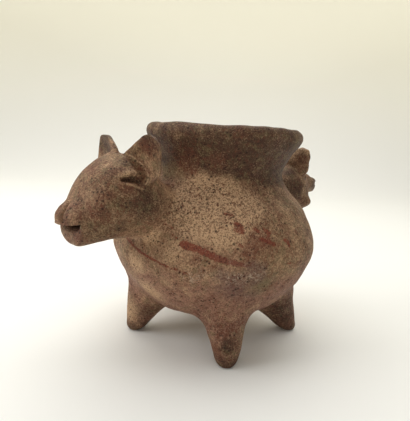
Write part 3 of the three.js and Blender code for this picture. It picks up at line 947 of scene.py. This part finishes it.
class JarShoulder(Operator):
    """Make the shoulder: the ring from the belly up to the narrowest part of the neck"""

    bl_idname = "effigy_jar.shoulder"
    bl_label = "Shoulder"

    def execute(self, context):
        outer, inner = jar_outlines(context)
        outside = between(outer, BOWL_SEAM, NECK_SEAM, SHOULDER_ROWS[0])
        inside = between(inner, BOWL_SEAM, NECK_SEAM, SHOULDER_ROWS[1])[::-1]
        rows = turned(np.vstack([outside, inside]))
        edges = (0, SHOULDER_ROWS[0] - 1, SHOULDER_ROWS[0], -1)
        fired("jar_shoulder", rows, ring=True, crisp=edges, slot="shoulder_clay", node="shoulder")
        return {"FINISHED"}


class JarNeck(Operator):
    """Make the neck, which flares up to a rounded lip"""

    bl_idname = "effigy_jar.neck"
    bl_label = "Neck and lip"

    def execute(self, context):
        shape = context.scene.jar_shape
        outer, inner = jar_outlines(context)
        top = mm(shape.height)
        depth, thick = mm(shape.lip_depth), mm(shape.lip_thickness)
        outside = between(outer, NECK_SEAM, top - depth / 2, NECK_ROWS[0])
        turn = np.linspace(0, pi, JAR_LIP_ROWS + 1)[1:]
        lip = np.stack([
            mm(shape.lip_radius) - thick / 2 * (1 - np.cos(turn)),
            top - depth / 2 * (1 - np.sin(turn)),
        ], -1)
        inside = between(inner, NECK_SEAM, top - depth, NECK_ROWS[1])[::-1]
        rows = turned(np.vstack([outside, lip, inside]))
        fired("jar_neck", rows, ring=True, crisp=(0, -1), slot="neck_clay", node="neck")
        return {"FINISHED"}


class JarLegs(Operator):
    """Press the four tapered legs on to the bowl and smooth them in"""

    bl_idname = "effigy_jar.legs"
    bl_label = "Legs"

    def execute(self, context):
        wall = Wall(context.scene.jar_shape)
        shape = context.scene.jar_legs
        for name, turn, splay, fall, skew in LEGS:
            self.leg(wall, shape, name, radians(turn), splay, fall, skew)
        return {"FINISHED"}

    @staticmethod
    def leg(wall, shape, name, turn, splay, fall, skew):
        """A leg is level ovals. At a height h its outer side runs straight from the foot to the bowl,
        its inner side falls back by a share of h plus a flare that grows as h cubed, its sides spread
        by 0.29 h, and over the lowest 20 mm it goes askew. The tip rounds off as a quarter circle, down
        to the flat spot it rests on. It reaches the bowl at the height seat and ends inside it at top."""
        seat, top = 42.0, 53.0
        seat_radius = np.interp(seat, wall.outline[:, 1], wall.outline[:, 0])
        foot, rounding = mm(shape.foot), mm(shape.rounding)
        outer_foot = mm(shape.reach) + splay + foot / 2
        flat = mm(shape.rest) / (foot / 2)

        def skin(along, angle):
            h = top * along**1.35
            up = np.minimum(h / seat, 1)
            outer = outer_foot + (seat_radius - outer_foot) * up - 3 * smooth((h - seat) / 9)
            inner = np.maximum(outer_foot - foot - fall * h - 5 * (h / 20) ** 3, 12)
            sides = foot / 2 + 0.29 * h + 3 * up**3
            size = flat + (1 - flat) * np.sqrt(1 - np.maximum(1 - h / rounding, 0) ** 2)
            x = (outer + inner) / 2 + (outer - inner) / 2 * size * np.cos(angle)
            y = sides * size * np.sin(angle) + skew * np.minimum(h / 20, 1)
            return np.stack(np.broadcast_arrays(x, y, h), -1)

        rows, closing = luted(wall, skin, mm(shape.join), AROUND_LEG, LEG_ROWS)
        c, s = cos(turn), sin(turn)
        about = np.array([[c, s, 0], [-s, c, 0], [0, 0, 1]])
        fired(f"modelled_{name}", rows @ about, rows[0].mean(0) @ about, closing @ about, crisp=(0, -2),
              slot="leg_clay", node=name)


HEADS = {
    "front": {
        "stations": FRONT_HEAD_STATIONS, "turn": -1, "nose": 109.3, "corner": 102.4, "jaw": 103.3,
        "round": (7.0, 7.4), "lips": (12.8, 11.6, 1.5, 3.9), "gap": (12.0, 10.8, 1.1, 0.9), "mouth": 83.6,
        "rise": 0.9, "tilt": 1.2, "ledge": 4.2, "back": 93.5, "root": 33.0,
        "lobe": 5.6, "lobe_height": 90.2, "scale": 1.0, "slant": 0.6, "chest": 0.0,
        "eye_ahead": (68.0, 72.0, 76.0, 80.4, 85.4),
        "eye_upper": (107.6, 109.8, 111.0, 110.8, 109.2),
        "eye_lower": (105.0, 105.4, 106.4, 107.7, 109.0),
        "lid_line": (103.2, 104.2, 105.9, 107.2, 107.9), "brow": 79.2,
    },
    "rear": {
        "stations": REAR_HEAD_STATIONS, "turn": 1, "nose": 106.6, "corner": 100.4, "jaw": 105.7,
        "round": (3.4, 4.6), "lips": (6.4, 6.4, 2.3, 2.3), "gap": (6.1, 6.1, 1.4, 1.4), "mouth": 97.1,
        "rise": 0.5, "tilt": 0.0, "ledge": 1.0, "back": 99.5, "root": 33.0,
        "lobe": 2.9, "lobe_height": 100.4, "scale": 0.6, "slant": 0.0, "chest": 4.0,
        "eye_ahead": (72.5, 75.0, 78.0, 81.0, 83.5),
        "eye_upper": (104.8, 106.0, 106.6, 106.5, 105.5),
        "eye_lower": (104.6, 104.2, 104.2, 104.8, 105.4),
        "lid_line": (101.6, 102.4, 103.2, 104.1, 105.0), "brow": 77.0,
    },
}


def features(p, spec, shape):
    """How far a head's skin stands out at points, how deep in the eye's slit they are, which becomes dirt
    and painted shade in the slit, and how much on its thin fold, which becomes a painted highlight along
    it: two soft lobes beside a crease down the nose, and on each side an eye as a slit with a steep upper
    edge, under a raised lid and over the fold, and clay smoothed thick at the throat."""
    ahead, side, up = np.moveaxis(p, -1, 0)
    scale, nose = spec["scale"], spec["lobe_height"]
    at_front = smooth((ahead - (spec["nose"] - 12.5 * scale)) / (5 * scale))
    beside = side - spec["slant"] * (nose + 3 - up)
    tall = smooth((up - nose + 6.5 * scale) / (2 * scale))
    tall = tall * (1 - smooth((up - nose - 3 * scale) / (5 * scale)))
    out = -mm(shape.crease) * scale**0.5 * bell(beside, 1.15 * scale) * tall * at_front
    lobes = bell(np.abs(beside) - spec["lobe"], 3.3 * scale) * bell(up - nose, 4.0 * scale)
    dip = bell(np.abs(beside) - spec["lobe"] - 6 * scale, 2.4 * scale)
    lobes = lobes - 0.35 * dip * bell(up - nose, 6 * scale)
    out = out + mm(shape.lobe) * scale * lobes * at_front
    bridge = bell(up - nose - 8.5 * scale, 3 * scale)
    out = out - 0.9 * scale * bridge * bell(ahead - spec["nose"] + 5 * scale, 5 * scale)
    eye = spec["eye_ahead"]
    upper = through(eye, spec["eye_upper"], ahead)
    lower = through(eye, spec["eye_lower"], ahead)
    fold = through(eye, spec["lid_line"], ahead)
    run = np.clip((ahead - eye[0]) / (eye[-1] - eye[0]), 0, 1)
    ending = smooth((1 - run) * 6)
    along = smooth(run * 2) * ending * smooth((np.abs(side) - 7 * scale) / (4 * scale))
    deep = smooth((up - lower + 0.3) / (np.maximum(upper - lower, 0.3) * 0.6))
    deep = deep * (1 - smooth((up - upper + 0.1) / 0.45))
    out = out - mm(shape.eye) * scale * deep * along
    lid = bell(up - upper - 1.5 * scale, 1.4 * scale) * smooth((1 - run) * 2.5)
    out = out + mm(shape.lid) * scale * lid * along
    crest = bell(up - fold, 0.55 * scale) - 0.7 * bell(up - fold + 1.1 * scale, 0.7 * scale)
    out = out + mm(shape.fold) * scale * crest * along
    brow = bell(ahead - spec["brow"] + 0.2 * np.abs(side), 1.5 * scale)
    brow = brow * smooth((up - spec["eye_upper"][0]) / 3)
    out = out + spec["chest"] * bell(ahead - 79, 6) * bell(up - 87.5, 4.5) * smooth((np.abs(side) - 5) / 5)
    # A painted highlight goes along the fold under the eye; deep * along also becomes painted shade in the
    # slit.
    edge = bell(up - fold, 0.5 * scale) * smooth(run * 6 - 0.8) * ending
    return out + 0.8 * scale * brow, deep * along, edge


def mouth_rows(head, spec, angle):
    """The rows from the closed back of the mouth out over the lips to the muzzle's full section. With q
    the share of the way from its middle to its corners, the muzzle's front falls back from the nose,
    or the jaw, by the share q to the 2.4 of the way to the corners. Over the last few mm before it the
    section closes on to the lips as a quarter ellipse, squarer at the chin; the lips turn in as another
    one, which is a sloping ledge below so that the lower lip's top shows, and the lining runs back."""
    c, s = np.cos(angle), np.sin(angle)
    blunt = (np.abs(c) ** 4 + np.abs(s) ** 4) ** (-1 / 4)
    inward = 1 - np.minimum(np.abs(c) * blunt, 1) ** 2.4
    over, below = smooth(s * 3 + 0.5), smooth(0.5 - s * 3)
    middle = spec["nose"] * over + spec["jaw"] * below
    front = spec["corner"] + (middle - spec["corner"]) * inward
    depth = spec["round"][0] * over + spec["round"][1] * below

    def loop(size):
        wide_over, wide_below, upper, lower = size
        wide = wide_over * over + wide_below * below
        tall = np.where(s > 0, upper, lower)
        line = spec["mouth"] + spec["rise"] * c * c + spec["tilt"] * c
        return np.stack([wide * c * blunt, line + tall * s * blunt], -1)

    lips, gap = loop(spec["lips"]), loop(spec["gap"])
    roll = spec["scale"] * 1.1 + spec["ledge"] * below * inward
    rows = []

    def row(ahead, across):
        rows.append(np.concatenate([ahead[:, None], across], -1))

    for t in np.linspace(0, 1, LINING_ROWS, endpoint=False):
        row(spec["back"] + (front - roll - spec["back"]) * t, gap * np.array([0.8 + 0.2 * t, 1]))
    for turn in np.linspace(0, pi / 2, LIP_ROWS, endpoint=False):
        share = (1 - cos(turn)) * (1 - 0.7 * below) + turn / (pi / 2) * 0.7 * below
        row(front - roll * (1 - sin(turn)), gap + (lips - gap) * share[:, None])
    squarer = 1 - 0.56 * below
    for turn in np.linspace(pi / 2, 0, MUZZLE_ROWS, endpoint=False):
        ahead = front - depth * (1 - sin(turn) ** squarer)
        full = head.at(ahead, angle)[:, 1:]
        row(ahead, lips + (full - lips) * (cos(turn) ** squarer)[:, None])
    closing = rows[0].mean(0)
    closing[0] -= 0.6
    return np.array(rows), front - depth, closing


def head_piece(context, name, node):
    """A head: the mouth's rows, then the skin back to the jar with its join, with the features pushed
    out or in square to the skin."""
    spec, shape = HEADS[name], context.scene.jar_heads
    wall, head = Wall(context.scene.jar_shape), Head(spec["stations"])
    angle = np.arange(AROUND_HEAD) * 2 * pi / AROUND_HEAD
    mouth, back, first = mouth_rows(head, spec, angle)

    def skin(along, turn):
        start = np.interp(turn % (2 * pi), np.append(angle, 2 * pi), np.append(back, back[0]))
        return head.at(start + (spec["root"] - start) * along, turn + 0 * along)

    rows, closing = luted(wall, skin, mm(shape.join), AROUND_HEAD, HEAD_ROWS)
    rows = np.vstack([mouth, rows])
    fade = smooth(wall.height(rows) / 4)
    out, hollow, edge = features(rows, spec, shape)
    row = np.arange(len(rows))[:, None]
    fade = fade * smooth((row - LINING_ROWS - LIP_ROWS) / 5)
    # The mouth's lining is darkened as painted shade inside the mouth, along with the eye's slit.
    hollow = np.maximum(hollow, 1 - smooth((row - LINING_ROWS + 1) / 4))
    rows = rows + outward_of(rows) * (out * fade)[..., None]
    # The slits carry soot as dirt and painted shade, the lining as painted shade, and the eye's fold a
    # painted highlight.
    extra = {"soot_and_shade": np.append(hollow.ravel(), (0, 0)), "painted_highlight": np.append(edge.ravel(), (0, 0))}
    facing = np.array([spec["turn"], spec["turn"], 1])
    fired(f"modelled_{node}", rows * facing, first * facing, closing * facing, crisp=(-2,),
          slot="head_clay", node=node, extra=extra)


def ear_piece(name, node, side, edges, place):
    """An ear is level sections from its tip down. Each is a flat oval between its inner and its outer
    edge, bent hollow: where the share across is c, it lies back by cup * (1 - c squared) * (1 + 0.6 c),
    so that the hollow is steeper under the outer rim. place is where the ear stands ahead, how it faces
    outwards, its cup, its thickness and how far it is smoothed on to the head."""
    spec = HEADS[name]
    head = Head(spec["stations"])
    ahead, facing, cup, thick, join = place
    up, inner, outer = np.array(edges, float).T
    middle, half = (inner + outer) / 2, (outer - inner) / 2
    stations = np.stack([half, middle, up], -1)
    mirrored = (-stations[1, 0], stations[1, 1], stations[1, 2])
    line = curve(stations, 40, before=mirrored)
    share = np.linspace(0, 1, len(line))
    across = np.array([-sin(facing), cos(facing)])
    forward = np.array([cos(facing), sin(facing)])

    def skin(along, angle):
        wide, centre, height = (np.interp(along, share, line[:, k]) for k in range(3))
        c, s = np.cos(angle), np.sin(angle)
        body = thick / 2 * np.minimum(1, 0.5 + wide / 9)
        edge = np.minimum(1, wide / (thick * 0.7))
        hollow = cup * np.minimum(1, wide / half.max() * 1.15) * (1 + 0.6 * c)
        back = hollow * (c * c - 1) + body * edge * s * (1 - 0.2 * c * c)
        level = np.array([ahead, 0.0]) + (centre + wide * c)[..., None] * across + back[..., None] * forward
        return np.concatenate([level, np.broadcast_to(height, back.shape)[..., None]], -1)

    rows, closing = luted(head, skin, join, AROUND_EAR, EAR_ROWS)
    row = np.arange(len(rows))[:, None]
    angle = np.arange(AROUND_EAR)[None] * 2 * pi / AROUND_EAR
    # A painted highlight along the ear's front fold, where it meets the head.
    painted_highlight = bell(row - EAR_ROWS - 1, 2.5) * smooth(np.sin(angle) * 3 - 0.6)
    extra = {"painted_highlight": np.append(painted_highlight.ravel(), (0, 0))}
    turned_to = np.array([spec["turn"], spec["turn"] * side, 1])
    fired(f"modelled_{node}", rows * turned_to, rows[0].mean(0) * turned_to, closing * turned_to,
          crisp=(-2,), slot="ear_clay", node=node, extra=extra)


class FrontHead(Operator):
    """Model the larger head, its open mouth, its eyes and its two ears"""

    bl_idname = "effigy_jar.front_head"
    bl_label = "Front head"

    def execute(self, context):
        join = mm(context.scene.jar_heads.ear_join)
        head_piece(context, "front", "front_head")
        near, far = (75.3, radians(10.7), 4.6, 4.2, join), (76.7, radians(10.7), 3.0, 4.2, join * 1.4)
        ear_piece("front", "front_head_left_ear", 1, NEAR_EAR, near)
        ear_piece("front", "front_head_right_ear", -1, FAR_EAR, far)
        return {"FINISHED"}


class RearHead(Operator):
    """Model the smaller head on the far side, with its mouth, eyes and two ears"""

    bl_idname = "effigy_jar.rear_head"
    bl_label = "Rear head"

    def execute(self, context):
        join = mm(context.scene.jar_heads.ear_join)
        head_piece(context, "rear", "rear_head")
        place = (66.6, radians(-28), 1.8, 4.2, join * 1.5)
        ear_piece("rear", "rear_head_left_ear", 1, REAR_EAR, place)
        ear_piece("rear", "rear_head_right_ear", -1, REAR_EAR, place)
        return {"FINISHED"}


OPERATORS = (JarStudio, JarBowl, JarShoulder, JarNeck, JarLegs, FrontHead, RearHead)
GROUPS = {"jar_shape": JarShape, "jar_legs": LegShape, "jar_heads": HeadShape, "jar_clay": ClayColours,
          "jar_studio": StudioLight}


class JarPanel(Panel):
    """The jar's sizes, colours and makers, in the 3D view's sidebar"""

    bl_idname = "VIEW3D_PT_effigy_jar"
    bl_label = "Effigy jar"
    bl_space_type = "VIEW_3D"
    bl_region_type = "UI"
    bl_category = "Effigy Jar"

    def draw(self, context):
        for operator in OPERATORS:
            self.layout.operator(operator.bl_idname)
        for key, group in GROUPS.items():
            box = self.layout.box()
            for name in group.__annotations__:
                box.prop(getattr(context.scene, key), name)


def register():
    for each in (*GROUPS.values(), *OPERATORS, JarPanel):
        bpy.utils.register_class(each)
    for key, group in GROUPS.items():
        setattr(bpy.types.Scene, key, PointerProperty(type=group))


def unregister():
    for key in GROUPS:
        delattr(bpy.types.Scene, key)
    for each in reversed((*GROUPS.values(), *OPERATORS, JarPanel)):
        bpy.utils.unregister_class(each)


def main():
    register()
    for operator in OPERATORS:
        group, name = operator.bl_idname.split(".")
        getattr(getattr(bpy.ops, group), name)()


if __name__ == "__main__":
    main()
